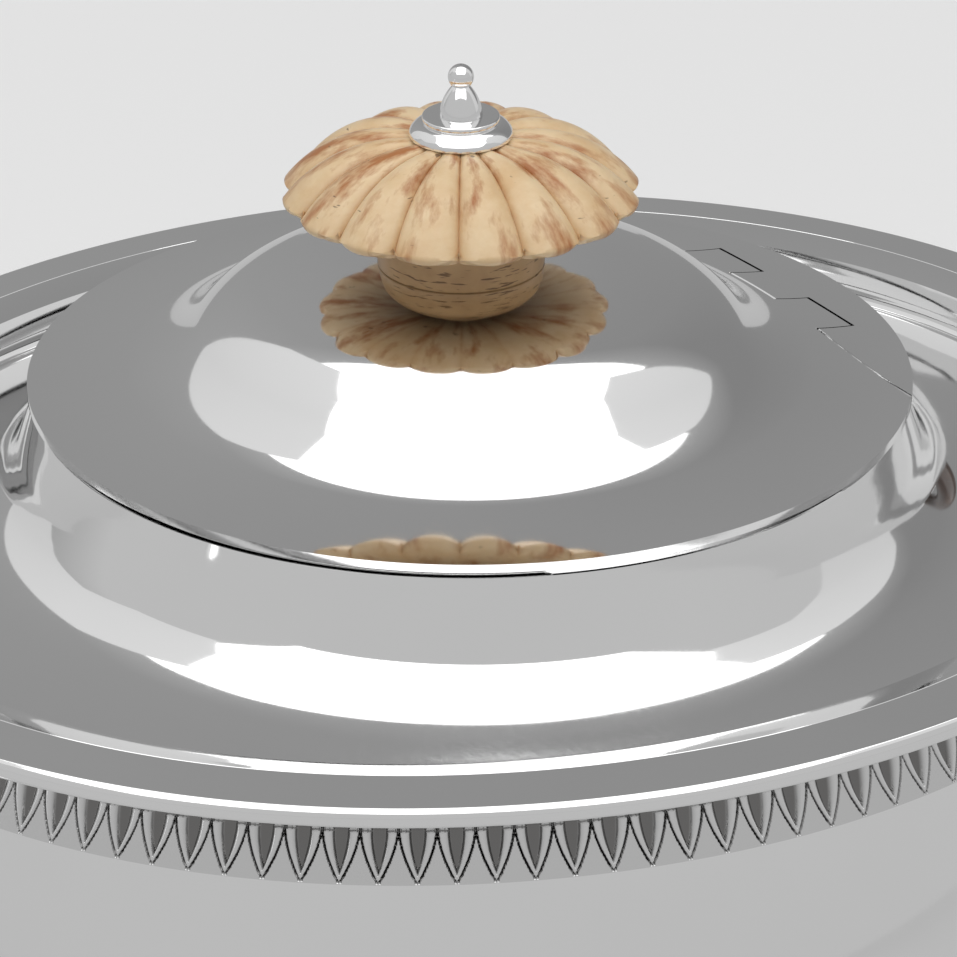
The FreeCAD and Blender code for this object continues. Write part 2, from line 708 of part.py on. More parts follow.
# Handle on the +X side: two silver sockets, a wooden ear held in them and a pin through each
UPPER_ROOT_X = f"({BELLY_LENGTH} - size.upper_socket_sink)"
UPPER_ROOT_Z = f"({NECK_Z} - size.upper_socket_drop)"
LOWER_ROOT_X = f"({BELLY_LENGTH} - size.lower_socket_sink)"
LOWER_ROOT_Z = f"({BASE_Z} + size.lower_socket_rise)"
UPPER_ANGLE = number("size.upper_socket_angle")
UPPER_X = f"({UPPER_ROOT_X} + size.upper_socket_length * cos(size.upper_socket_angle * 1 deg))"
UPPER_Z = f"({UPPER_ROOT_Z} + size.upper_socket_length * sin(size.upper_socket_angle * 1 deg))"
LOWER_X = f"({LOWER_ROOT_X} + size.lower_socket_length)"
ARCH_X = f"({UPPER_X} + size.handle_arch_run)"
ARCH_Z = f"({UPPER_Z} + size.handle_arch)"
OUT_X = f"({ARCH_X} + size.handle_swell)"
OUT_Z = f"({UPPER_Z} - size.handle_drop)"


def lengthwise(name, kind, x, z, angle, sizes):
    """A round thing from a point in the plane of the handle, along a raised direction."""
    bar = doc.addObject(kind, name)
    bar.Placement.Rotation = leaning(angle)
    return bind(bar, {**sizes, "Placement.Base.x": x, "Placement.Base.z": z})


def socket(name, x, z, angle, length):
    """A tapered cup on the belly, with the handle's tenon and the pin that crosses them."""
    cup = lengthwise(f"{name}_cup", "Part::Cone", x, z, angle, {
        "Radius1": "size.socket_root", "Radius2": "size.socket_tip", "Height": length})
    out = math.cos(math.radians(angle))
    up = math.sin(math.radians(angle))
    tenon_start = f"({length} - size.tenon_depth)"
    pin_place = f"({length} - size.tenon_depth / 2)"
    tenon = lengthwise(f"{name}_tenon", "Part::Cylinder", f"{x} + {tenon_start} * {out:.6f}",
                       f"{z} + {tenon_start} * {up:.6f}", angle,
                       {"Radius": "size.tenon_radius", "Height": "size.tenon_depth"})
    thinning = f"(size.socket_tip - size.socket_root) * {pin_place} / {length}"
    pin_reach = f"(size.socket_root + {thinning} + size.handle_pin_proud)"
    pin = crosswise(f"{name}_pin", "size.handle_pin_radius", f"-{pin_reach}", f"2 * {pin_reach}",
                    f"{x} + {pin_place} * {out:.6f}", f"{z} + {pin_place} * {up:.6f}")
    fitted = cut(f"{name}_fitted", cup, belly_outer)
    bored = cut(f"{name}_bored", fitted, tenon)
    return cut(name, bored, pin), tenon, pin


upper_socket, upper_tenon, upper_pin = socket(
    "upper_socket", UPPER_ROOT_X, UPPER_ROOT_Z, UPPER_ANGLE, "size.upper_socket_length")
lower_socket, lower_tenon, lower_pin = socket(
    "lower_socket", LOWER_ROOT_X, LOWER_ROOT_Z, 0, "size.lower_socket_length")
handle_pins = group("handle_pins", [upper_pin, lower_pin])


def handle_section(name, x, z, angle):
    """One section of the wooden ear."""
    return station(name, x, z, angle, "size.handle_width", "size.handle_extra")


def quarter(name, centre_x, centre_z, reach_x, reach_z, angle):
    """A section on a quarter oval, at an angle up from +X and heading down."""
    out = math.cos(math.radians(angle))
    up = math.sin(math.radians(angle))
    heading = math.degrees(math.atan2(-number(reach_z) * out, number(reach_x) * up))
    return handle_section(name, f"{centre_x} + {reach_x} * {out:.5f}",
                          f"{centre_z} + {reach_z} * {up:.5f}", heading)


def handle_sections():
    """Sections from the upper socket over the arch, round the back and in to the lower socket."""
    sections = [
        handle_section("ear_start", UPPER_X, UPPER_Z, UPPER_ANGLE),
        handle_section("ear_climb", f"{UPPER_X} + size.handle_arch_run * 0.42",
                       f"{UPPER_Z} + size.handle_arch * 0.66", UPPER_ANGLE / 2),
    ]
    for angle in (90, 60, 30, 0):
        sections.append(quarter(f"ear_arch_{angle}", ARCH_X, OUT_Z, f"({OUT_X} - {ARCH_X})",
                                f"({ARCH_Z} - {OUT_Z})", angle))
    for angle in (-20, -40, -60, -76, -90):
        sections.append(quarter(f"ear_back_{-angle}", LOWER_X, OUT_Z, f"({OUT_X} - {LOWER_X})",
                                f"({OUT_Z} - {LOWER_ROOT_Z})", angle))
    return sections


ear = loft("ear", handle_sections())
handle_blank = fuse("handle_blank", [ear, upper_tenon, lower_tenon])
handle = cut("handle", handle_blank, handle_pins)

NODES = [
    body_shell, base_plate, foot_ring, shoulder_plate, mouth_collar, rim_wire, leaf_border, spout,
    upper_socket, lower_socket, handle, handle_pins, hinge_leaf, leaf_knuckles, hinge_pin,
    hinge_trough, lid_cover, lid_knuckles, lid_bezel, finial_stem, finial_cap, finial_lower_washer,
    finial_upper_washer, finial_bell, finial_rod, nut_washer, finial_nut,
]

doc.recompute()
for item in doc.Objects:
    if {"Invalid", "Error"} & set(item.State):
        raise RuntimeError(f"{item.Label} failed: {item.State}")
for node in NODES:
    if node.Shape.isNull() or not node.Shape.isValid():
        raise RuntimeError(f"{node.Label} has no valid shape")
os.makedirs("parts", exist_ok=True)
for node in NODES:
    node.Shape.exportStep(f"parts/{node.Label}.step")
    print(node.Label, len(node.Shape.Solids), round(node.Shape.Volume, 1))
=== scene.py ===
"""Looks of the oval silver teapot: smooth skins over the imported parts, materials, light and camera.

Lengths in the formulas are millimetres, as in the part's own sheet, and meshes are made in metres.
"""
import math

import bmesh
import bpy
from mathutils import Matrix, Vector


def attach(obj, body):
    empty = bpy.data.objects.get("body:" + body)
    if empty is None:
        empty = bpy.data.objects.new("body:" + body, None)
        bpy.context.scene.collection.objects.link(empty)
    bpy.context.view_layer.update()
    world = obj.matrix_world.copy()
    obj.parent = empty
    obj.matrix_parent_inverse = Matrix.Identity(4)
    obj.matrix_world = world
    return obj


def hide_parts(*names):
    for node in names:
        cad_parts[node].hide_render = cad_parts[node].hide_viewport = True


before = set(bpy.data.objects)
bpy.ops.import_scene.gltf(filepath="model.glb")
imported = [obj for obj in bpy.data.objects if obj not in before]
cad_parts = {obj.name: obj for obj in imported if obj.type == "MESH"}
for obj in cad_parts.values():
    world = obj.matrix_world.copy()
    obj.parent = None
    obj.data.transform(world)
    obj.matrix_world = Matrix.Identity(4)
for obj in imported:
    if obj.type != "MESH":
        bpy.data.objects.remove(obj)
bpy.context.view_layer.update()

MM = 0.001

# Sizes of the part that the skins follow
EXTRA = 6.5
WALL = 1.2
BASE_Z, BELLY_Z, NECK_Z, GROOVE_Z, RIM_Z = 10.0, 50.0, 89.6, 91.4, 95.8
BASE_W, BASE_HOLE_W, BELLY_W, NECK_W, BORDER_W = 40.0, 36.0, 71.0, 61.1, 62.3
GROOVE_W, CHANNEL_TOP_W, RIM_INNER_W, RIM_W = 58.5, 63.5, 66.9, 69.5
RIM_WIRE, RIM_BULGE = 2.6, 0.9
BORDER_HEIGHT, BORDER_LEAN = 4.9, 1.8
SEAT_R, SEAT_Z, MOUTH_R = 42.2, 104.9, 31.08
NECK_STATIONS = (
    (0.000, 0.000), (0.036, 0.180), (0.077, 0.357), (0.099, 0.444), (0.127, 0.531), (0.161, 0.611),
    (0.206, 0.682), (0.258, 0.742), (0.317, 0.791), (0.380, 0.831), (0.445, 0.863), (0.578, 0.914),
    (0.714, 0.955), (0.851, 0.986), (1.000, 1.000),
)
LID_R, LID_Z, LIP_Z = 43.0, 106.0, 105.2
BRIM_R, BRIM_RISE, BRIM_BEND = 33.0, 1.6, 48.0
FLANK_WIDTH, FLANK_BEND = 13.0, 14.7
DOME_DROP, DOME_BEND = 2.2, 38.0
CROWN_R, CROWN_RISE, LID_WALL = 8.6, 12.2, 1.0
CROWN_Z = LID_Z + CROWN_RISE
HINGE_X, HINGE_Z = 35.2, 105.8
BARREL_R, SLOT_R, WELL_Z = 2.22, 2.52, 95.0
KNUCKLE, KNUCKLE_GAP = 7.7, 0.15
PIN_R, PIN_GAP, PIN_REACH = 0.6, 0.04, 16.0
ROD_BORE = 1.05
FINIAL_X = -1.0
STEM_R, STEM_TAPER, STEM_SIDE, STEM_BEND = 8.1, 0.25, 2.8, 7.0
STEM_NECK, STEM_NECK_H, STEM_H = 4.2, 0.6, 8.0
CAP_HOLLOW = 1.6
CAP_Z = CROWN_Z + STEM_H - CAP_HOLLOW
CAP_R, CAP_EDGE, CAP_RISE, CAP_BEND, CAP_TOP_R = 17.3, 1.0, 6.7, 14.0, 5.3
LOBES = 16
WASHER_Z = CAP_Z + CAP_RISE
WASHER_R, WASHER_H, DISC_R, DISC_H = 5.0, 1.5, 3.75, 0.6
DISC_Z = WASHER_Z + WASHER_H
BELL_Z = DISC_Z + DISC_H
BELL_R, BELL_H, BELL_NECK, BALL_R = 2.1, 3.0, 0.85, 1.25
LEAVES = 120


# Node helpers

def new_material(name):
    """An empty node material with its output and principled shader."""
    material = bpy.data.materials.new(name)
    material.use_nodes = True
    tree = material.node_tree
    shader = tree.nodes["Principled BSDF"]
    return material, tree, shader


def node(tree, kind, inputs=None, **settings):
    """A node with some settings and constant inputs."""
    item = tree.nodes.new(kind)
    for key, value in settings.items():
        setattr(item, key, value)
    for key, value in (inputs or {}).items():
        item.inputs[key].default_value = value
    return item


def ramp(tree, fac, stops):
    """A colour ramp over a value."""
    item = tree.nodes.new("ShaderNodeValToRGB")
    elements = item.color_ramp.elements
    while len(elements) < len(stops):
        elements.new(0.5)
    for element, (place, colour) in zip(elements, stops):
        element.position = place
        element.color = (*colour, 1)
    tree.links.new(fac, item.inputs["Fac"])
    return item.outputs["Color"]


def grey(value):
    """A neutral colour."""
    return (value, value, value)


def stretched_noise(tree, scale, detail=4.0, roughness=0.55, attribute=None):
    """Noise in object space or along an attribute, with its own scale along each axis."""
    if attribute:
        place = node(tree, "ShaderNodeAttribute", attribute_name=attribute).outputs["Vector"]
    else:
        place = node(tree, "ShaderNodeTexCoord").outputs["Object"]
    mapping = node(tree, "ShaderNodeMapping", {"Scale": scale})
    noise = node(tree, "ShaderNodeTexNoise",
                 {"Scale": 1.0, "Detail": detail, "Roughness": roughness})
    tree.links.new(place, mapping.inputs["Vector"])
    tree.links.new(mapping.outputs["Vector"], noise.inputs["Vector"])
    return noise.outputs["Fac"]


def mixed(tree, fac, first, second):
    """A mix of two colours, each a constant or a socket."""
    item = node(tree, "ShaderNodeMix", data_type="RGBA")
    for value, socket in ((fac, item.inputs[0]), (first, item.inputs[6]), (second, item.inputs[7])):
        if isinstance(value, bpy.types.NodeSocket):
            tree.links.new(value, socket)
        elif isinstance(value, (int, float)):
            socket.default_value = value
        else:
            socket.default_value = (*value, 1)
    return item.outputs[2]


def bumped(tree, shader, height, strength, distance):
    """Fine relief on a shader."""
    bump = node(tree, "ShaderNodeBump", {"Strength": strength, "Distance": distance})
    tree.links.new(height, bump.inputs["Height"])
    tree.links.new(bump.outputs["Normal"], shader.inputs["Normal"])


# Materials
WEAR_SCALE, TARNISH_SCALE = (2600, 900, 2600), (45, 45, 45)
WEAR_LOW, WEAR_HIGH = 0.12, 0.42
RECESS_TONE = (0.10, 0.095, 0.09)
TURNING_SCALE, GRAIN_SCALE = (900, 900, 9000), (70, 900, 70)
NICKEL_DARK, NICKEL_LIGHT = (0.52, 0.50, 0.47), (0.66, 0.64, 0.60)
CLOUD_SCALE, PATCH_SCALE, STREAK_SCALE = (190, 190, 260), (5.5, 5.5, 3.2), (420, 420, 60)
PORE_EDGE, PORE_TONE = 0.05, (0.10, 0.045, 0.02)
SHADE_TONE = (0.035, 0.02, 0.012)
WOOD_DARK, WOOD_MID, WOOD_LIGHT = (0.018, 0.009, 0.006), (0.045, 0.022, 0.013), (0.085, 0.042, 0.024)


def silver_material(name, colour=0.93, rough=(0.035, 0.10), recess=False):
    """Polished silver with fine wear; the recessed kind darkens with depth."""
    material, tree, shader = new_material(name)
    shader.inputs["Metallic"].default_value = 1.0
    wear = stretched_noise(tree, WEAR_SCALE, 6.0, 0.7)
    tarnish = stretched_noise(tree, TARNISH_SCALE, 3.0, 0.5)
    spread = node(tree, "ShaderNodeMath", operation="MULTIPLY")
    tree.links.new(wear, spread.inputs[0])
    tree.links.new(tarnish, spread.inputs[1])
    haze = node(tree, "ShaderNodeMapRange", {1: WEAR_LOW, 2: WEAR_HIGH, 3: rough[0], 4: rough[1]})
    tree.links.new(spread.outputs[0], haze.inputs[0])
    tree.links.new(haze.outputs[0], shader.inputs["Roughness"])
    tone = ramp(tree, tarnish, [(0.3, grey(colour - 0.02)), (0.7, grey(colour))])
    # Darker the deeper the relief; in the leaf border's sunk top and foot lines this is painted shade
    if recess:
        depth = node(tree, "ShaderNodeAttribute", attribute_name="depth")
        tone = mixed(tree, depth.outputs["Fac"], tone, RECESS_TONE)
    tree.links.new(tone, shader.inputs["Base Color"])
    bumped(tree, shader, wear, strength=0.02, distance=0.00002)
    return material


def nickel_material():
    """Dull nickel with turning marks."""
    material, tree, shader = new_material("nickel")
    shader.inputs["Metallic"].default_value = 1.0
    grain = stretched_noise(tree, TURNING_SCALE)
    tone = ramp(tree, grain, [(0.3, NICKEL_DARK), (0.7, NICKEL_LIGHT)])
    tree.links.new(tone, shader.inputs["Base Color"])
    shader.inputs["Roughness"].default_value = 0.28
    bumped(tree, shader, grain, strength=0.15, distance=0.00003)
    return material


def bone_material(name, light, mid, stain, pore, pore_level):
    """Polished bone: cream clouds, brown patches along the lobes, stained grooves and dash-like pores."""
    material, tree, shader = new_material(name)
    cloud = stretched_noise(tree, CLOUD_SCALE, 5.0, 0.6)
    patch = stretched_noise(tree, PATCH_SCALE, 5.0, 0.6, "lobe")
    base = ramp(tree, cloud, [(0.32, mid), (0.62, light)])
    patches = ramp(tree, patch, [(0.49, grey(0)), (0.66, grey(0.95))])
    stained = mixed(tree, patches, base, stain)
    groove = node(tree, "ShaderNodeAttribute", attribute_name="depth")
    streak = stretched_noise(tree, STREAK_SCALE, 4.0, 0.6)
    strength = node(tree, "ShaderNodeMath", operation="MULTIPLY")
    streaks = ramp(tree, streak, [(0.35, grey(0.25)), (0.65, grey(1.0))])
    tree.links.new(groove.outputs["Fac"], strength.inputs[0])
    tree.links.new(streaks, strength.inputs[1])
    grooved = mixed(tree, strength.outputs[0], stained, stain)
    dash = stretched_noise(tree, pore, 2.0, 0.5)
    pores = ramp(tree, dash, [(pore_level, grey(0)), (pore_level + PORE_EDGE, grey(0.75))])
    marked = mixed(tree, pores, grooved, PORE_TONE)
    # Painted shade: toward a dark brown where the shade value is set, under the cap near the stem
    shade = node(tree, "ShaderNodeAttribute", attribute_name="shade")
    tone = mixed(tree, shade.outputs["Fac"], marked, SHADE_TONE)
    tree.links.new(tone, shader.inputs["Base Color"])
    shader.inputs["Roughness"].default_value = 0.32
    shader.inputs["Subsurface Weight"].default_value = 0.12
    shader.inputs["Subsurface Radius"].default_value = (0.002, 0.0012, 0.0006)
    shader.inputs["Specular IOR Level"].default_value = 0.45
    bumped(tree, shader, cloud, strength=0.12, distance=0.0002)
    return material


def wood_material():
    """Dark polished wood with grain along the handle."""
    material, tree, shader = new_material("wood")
    grain = stretched_noise(tree, GRAIN_SCALE, 6.0, 0.6)
    tone = ramp(tree, grain, [(0.3, WOOD_DARK), (0.55, WOOD_MID), (0.75, WOOD_LIGHT)])
    tree.links.new(tone, shader.inputs["Base Color"])
    shader.inputs["Roughness"].default_value = 0.3
    shader.inputs["Coat Weight"].default_value = 0.3
    bumped(tree, shader, grain, strength=0.15, distance=0.0002)
    return material


silver = silver_material("silver")
leaf_silver = silver_material("leaf_silver", 0.82, (0.10, 0.22), recess=True)
inner_silver = silver_material("inner_silver", 0.80, (0.18, 0.34))
nickel = nickel_material()
bone = bone_material("bone", light=(0.76, 0.58, 0.36), mid=(0.66, 0.45, 0.24), stain=(0.40, 0.15, 0.045),
                     pore=(520, 520, 2200), pore_level=0.72)
# The stem's bone: the cap's tones made darker all over as painted shade under the cap, with its own pores
stem_bone_painted_shade = bone_material("stem_bone_painted_shade", light=(0.62, 0.42, 0.22), mid=(0.50, 0.32, 0.16),
                          stain=(0.22, 0.11, 0.05), pore=(420, 420, 3200), pore_level=0.60)
wood = wood_material()


# Shapes
CORNER_LIMIT = 0.49


def arc(start, end, radius, turn, steps=16):
    """Points of an arc after its start, turning left (1) or right (-1)."""
    start = Vector(start)
    end = Vector(end)
    chord = end - start
    half = chord.length / 2
    left = Vector((-chord.y, chord.x)).normalized()
    centre = start + chord * 0.5 + left * turn * math.sqrt(max(radius ** 2 - half ** 2, 0))
    sweep = 2 * math.asin(min(half / radius, 1)) * turn
    spoke = start - centre
    points = []
    for i in range(1, steps + 1):
        angle = sweep * i / steps
        points.append((centre.x + spoke.x * math.cos(angle) - spoke.y * math.sin(angle),
                       centre.y + spoke.x * math.sin(angle) + spoke.y * math.cos(angle)))
    return points


def softened(corners, steps=4):
    """An outline whose corners, given with a third value, are rounded by that much."""
    points = []
    count = len(corners)
    for i, corner in enumerate(corners):
        here = Vector(corner[:2])
        radius = corner[2] if len(corner) > 2 else 0
        if not radius:
            points.append(tuple(here))
            continue
        before = Vector(corners[i - 1][:2]) - here
        after = Vector(corners[(i + 1) % count][:2]) - here
        first = here + before.normalized() * min(radius, before.length * CORNER_LIMIT)
        last = here + after.normalized() * min(radius, after.length * CORNER_LIMIT)
        for step in range(steps + 1):
            t = step / steps
            points.append(tuple(first * (1 - t) ** 2 + here * 2 * t * (1 - t) + last * t ** 2))
    return points


def finished(name, mesh, material, body, stands_for=(), angle=35):
    """A mesh as a piece of the object, smooth but for edges sharper than the angle."""
    mesh.materials.clear()
    mesh.materials.append(material)
    mesh.shade_smooth()
    mesh.set_sharp_from_angle(angle=math.radians(angle))
    piece = bpy.data.objects.new(name, mesh)
    bpy.context.scene.collection.objects.link(piece)
    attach(piece, body)
    if stands_for:
        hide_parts(*stands_for)
    return piece


def ring_mesh(name, rings, closed=True):
    """A mesh through rings with equal numbers of points, in millimetres, closed on itself or capped."""
    count = len(rings[0])
    vertices = [Vector(point) * MM for ring in rings for point in ring]
    faces = []
    for i in range(len(rings) if closed else len(rings) - 1):
        first = i * count
        second = ((i + 1) % len(rings)) * count
        for j in range(count):
            k = (j + 1) % count
            faces.append((first + j, first + k, second + k, second + j))
    if not closed:
        faces.append(tuple(reversed(range(count))))
        faces.append(tuple(range((len(rings) - 1) * count, len(rings) * count)))
    mesh = bpy.data.meshes.new(name)
    mesh.from_pydata(vertices, [], faces)
    mesh.validate()
    editing = bmesh.new()
    editing.from_mesh(mesh)
    bmesh.ops.recalc_face_normals(editing, faces=editing.faces)
    editing.to_mesh(mesh)
    editing.free()
    return mesh


def oval_ring(width, extra, z, segments):
    """Points of a level oval."""
    points = []
    for i in range(segments):
        turn = 2 * math.pi * i / segments
        points.append(((width + extra) * math.cos(turn), width * math.sin(turn), z))
    return points


def oval_mesh(name, outline, segments=320, closed=True):
    """A mesh from an outline of half widths, extra lengths and heights."""
    return ring_mesh(name, [oval_ring(*corner, segments) for corner in outline], closed)


def turned_mesh(name, outline, z, segments=192, closed=True, x=0.0):
    """A turned mesh from radii and heights above z, on an upright axis at x."""
    mesh = oval_mesh(name, [(radius, 0, height + z) for radius, height in outline], segments, closed)
    mesh.transform(Matrix.Translation((x * MM, 0, 0)))
    return mesh


def bar_mesh(name, radius, low, high, segments=64):
    """A bar along the hinge's axis, in millimetres along Y."""
    rings = []
    for y in (low, high):
        rings.append([(HINGE_X + radius * math.cos(2 * math.pi * i / segments), y,
                       HINGE_Z + radius * math.sin(2 * math.pi * i / segments))
                      for i in range(segments)])
    return ring_mesh(name, rings, closed=False)


def block_mesh(name, low, high):
    """A box between two corners."""
    rings = []
    for z in (low[2], high[2]):
        rings.append([(low[0], low[1], z), (high[0], low[1], z), (high[0], high[1], z),
                      (low[0], high[1], z)])
    return ring_mesh(name, rings, closed=False)


def joined(name, meshes):
    """Several meshes as one."""
    editing = bmesh.new()
    for mesh in meshes:
        editing.from_mesh(mesh)
    mesh = bpy.data.meshes.new(name)
    editing.to_mesh(mesh)
    editing.free()
    return mesh


def carved(mesh, tool, operation="DIFFERENCE"):
    """The mesh after a boolean with a tool mesh."""
    base = bpy.data.objects.new("carve_base", mesh)
    other = bpy.data.objects.new("carve_tool", tool)
    for item in (base, other):
        bpy.context.scene.collection.objects.link(item)
    modifier = base.modifiers.new("carve", "BOOLEAN")
    modifier.object = other
    modifier.operation = operation
    modifier.solver = "EXACT"
    graph = bpy.context.evaluated_depsgraph_get()
    result = bpy.data.meshes.new_from_object(base.evaluated_get(graph))
    bpy.data.objects.remove(base)
    bpy.data.objects.remove(other)
    return result


def set_values(mesh, name, values):
    """One value at each vertex, from 0 to 1, for the material."""
    attribute = mesh.attributes.new(name, "FLOAT", "POINT")
    attribute.data.foreach_set("value", values)


# Belly
LOWER_STEPS, UPPER_STEPS = 28, 28
STRAINER_RINGS, STRAINER_HOLE, STRAINER_PITCH, STRAINER_Z = 2, 1.6, 4.4, 34.0
STRAINER_X, STRAINER_SIDES, HOLES_PER_RING = (-89.5, -65.5), 32, 6


def belly_outline(inset):
    """Half widths and heights of the belly's skin, from its base to its neck."""
    points = []
    for i in range(LOWER_STEPS + 1):
        angle = math.radians(90 * (1 - i / LOWER_STEPS))
        out, down = math.cos(angle), math.sin(angle)
        points.append((BASE_W + (BELLY_W - BASE_W) * out - inset * out,
                       BELLY_Z - (BELLY_Z - BASE_Z) * down + inset * down))
    for i in range(1, UPPER_STEPS + 1):
        share = i / UPPER_STEPS
        points.append((NECK_W + (BELLY_W - NECK_W) * (1 - share ** 2) - inset,
                       BELLY_Z + (NECK_Z - BELLY_Z) * share))
    return points


belly_shell = [(BASE_HOLE_W, BASE_Z)] + belly_outline(0)
belly_shell += list(reversed(belly_outline(WALL))) + [(BASE_HOLE_W, BASE_Z + WALL)]
body_mesh = oval_mesh("body_skin", [(width, EXTRA, z) for width, z in belly_shell])


def strainer_mesh():
    """Bars along X where the wall behind the spout is pierced."""
    bars = []
    for ring in range(STRAINER_RINGS + 1):
        count = HOLES_PER_RING * ring or 1
        for i in range(count):
            turn = 2 * math.pi * i / count
            y = STRAINER_PITCH * ring * math.cos(turn)
            z = STRAINER_Z + STRAINER_PITCH * ring * math.sin(turn)
            rings = []
            for x in STRAINER_X:
                angles = [2 * math.pi * j / STRAINER_SIDES for j in range(STRAINER_SIDES)]
                rings.append([(x, y + STRAINER_HOLE * math.cos(a), z + STRAINER_HOLE * math.sin(a))
                              for a in angles])
            bars.append(ring_mesh("strainer_bar", rings, closed=False))
    return joined("strainer", bars)


body_mesh = carved(body_mesh, strainer_mesh())
finished("body_skin", body_mesh, silver, "pot", ["body_shell"])

# Neck, channel and rim
NECK_STEPS, CHANNEL_STEPS, LEDGE_STEPS = 8, 16, 8
LEDGE_W, LEDGE_Z, LEDGE_BEND, LEDGE_SEAM = 59.9, 95.07, 29.0, 0.06
REBATE_W, REBATE_H = 0.8, 0.5
WIRE_STEPS = 32
LAND_TILT = 6
LAND_FALL = math.tan(math.radians(LAND_TILT))
LAND_Z = RIM_Z - (RIM_INNER_W - CHANNEL_TOP_W) * LAND_FALL
EDGE_Z = RIM_Z - (RIM_W - RIM_BULGE - CHANNEL_TOP_W) * LAND_FALL


def smooth_path(points, steps):
    """A smooth curve through points, with some steps between each pair."""
    knots = [Vector(point) for point in points]
    knots = [knots[0] * 2 - knots[1]] + knots + [knots[-1] * 2 - knots[-2]]
    path = []
    for before, start, end, after in zip(knots, knots[1:], knots[2:], knots[3:]):
        span = (end - start).length
        leave = ((start - before) / (start - before).length + (end - start) / span) * span / 2
        reach = ((end - start) / span + (after - end) / (after - end).length) * span / 2
        for step in range(steps):
            t = step / steps
            path.append(start * (1 + 2 * t) * (1 - t) ** 2 + leave * t * (1 - t) ** 2
                        + end * t * t * (3 - 2 * t) + reach * t * t * (t - 1))
    return path + [knots[-2]]


def neck_outline(inset):
    """Half widths, extra lengths and heights of the neck, from the seat to the groove."""
    run, depth = GROOVE_W - SEAT_R, SEAT_Z - GROOVE_Z
    path = smooth_path([(share * run, -drop * depth) for share, drop in NECK_STATIONS], NECK_STEPS)
    points = []
    for i, place in enumerate(path):
        along = (path[min(i + 1, len(path) - 1)] - path[max(i - 1, 0)]).normalized()
        sink = inset * (along.x if i else 1)
        width = SEAT_R + place.x + inset * along.y
        points.append((width, EXTRA * place.x / run, SEAT_Z + place.y - sink))
    return points


def channel_outline():
    """The channel from the groove to a rolled ledge, and the fine seam where the ledge meets the rim."""
    points = []
    for i in range(1, CHANNEL_STEPS + 1):
        angle = math.radians(90 * i / CHANNEL_STEPS)
        points.append((GROOVE_W + (LEDGE_W - GROOVE_W) * math.sin(angle),
                       GROOVE_Z + (LEDGE_Z - GROOVE_Z) * (1 - math.cos(angle))))
    points += arc(points[-1], (CHANNEL_TOP_W - LEDGE_SEAM, RIM_Z), LEDGE_BEND, -1, LEDGE_STEPS)
    points += [(CHANNEL_TOP_W, RIM_Z - LEDGE_SEAM), (CHANNEL_TOP_W + LEDGE_SEAM, RIM_Z)]
    return [(width, EXTRA, z) for width, z in points]


neck = [corner for corner in neck_outline(0) if corner[2] < SEAT_Z - REBATE_H]
shoulder = [(MOUTH_R, 0, SEAT_Z), (SEAT_R - REBATE_W, 0, SEAT_Z)]
shoulder += [(SEAT_R - REBATE_W, 0, SEAT_Z - REBATE_H), (SEAT_R, 0, SEAT_Z - REBATE_H)]
shoulder += neck + channel_outline()
shoulder += [(RIM_INNER_W, EXTRA, LAND_Z), (RIM_INNER_W, EXTRA, RIM_Z - RIM_WIRE)]
shoulder += [(BORDER_W, EXTRA, NECK_Z), (GROOVE_W, EXTRA, NECK_Z)]
shoulder += list(reversed(neck_outline(WALL))) + [(MOUTH_R, 0, SEAT_Z - WALL)]
shoulder_mesh = oval_mesh("shoulder_skin", shoulder)
well = turned_mesh("well", [(SEAT_R - WALL, WELL_Z), (SEAT_R - WALL, LID_Z)], 0, closed=False)
slot = carved(bar_mesh("slot_bar", SLOT_R, -LID_R, LID_R), well, "INTERSECT")
shoulder_mesh = carved(shoulder_mesh, slot)
finished("shoulder_skin", shoulder_mesh, silver, "pot", ["shoulder_plate"])

wire = [(RIM_INNER_W, EXTRA, LAND_Z), (RIM_W - RIM_BULGE, EXTRA, EDGE_Z)]
for i in range(1, WIRE_STEPS + 1):
    angle = math.radians(90 - 180 * i / WIRE_STEPS)
    wire.append((RIM_W - RIM_BULGE * (1 - math.cos(angle)), EXTRA,
                 RIM_Z - RIM_WIRE + (EDGE_Z - RIM_Z + RIM_WIRE) * (1 + math.sin(angle)) / 2))
wire += [(RIM_INNER_W, EXTRA, RIM_Z - RIM_WIRE)]
finished("rim_skin", oval_mesh("rim_skin", wire), silver, "pot", ["rim_wire"])

# Leaf border
LEAF_COLUMNS, LEAF_ROWS, LEAF_RELIEF = 40, 40, 0.7
SHADOW_LINE, FOOT_STRIP, FOOT_LINE = 0.05, 0.94, 0.975
GROUND, DART_BEND = 0.04, 1.6
RIB_TOP, RIB_FOOT = 0.20, 0.10
SUNK_LEVEL, GROUND_LEVEL, FLAT_LEVEL, RIB_LEVEL, RIB_ROUND = 0.1, 0.15, 0.85, 0.95, 0.2
SPOON_EDGE, SPOON_RISE = 0.55, 0.65
RECESS_DARK_POWER, RECESS_DARK_LEVEL = 1.3, 0.95
BORDER_GAP, BORDER_CREASE = 0.02, 60


def eased(value, low, high):
    """A smooth rise from 0 to 1 between two values."""
    share = max(min((value - low) / (high - low), 1), 0)
    return share * share * (3 - 2 * share)


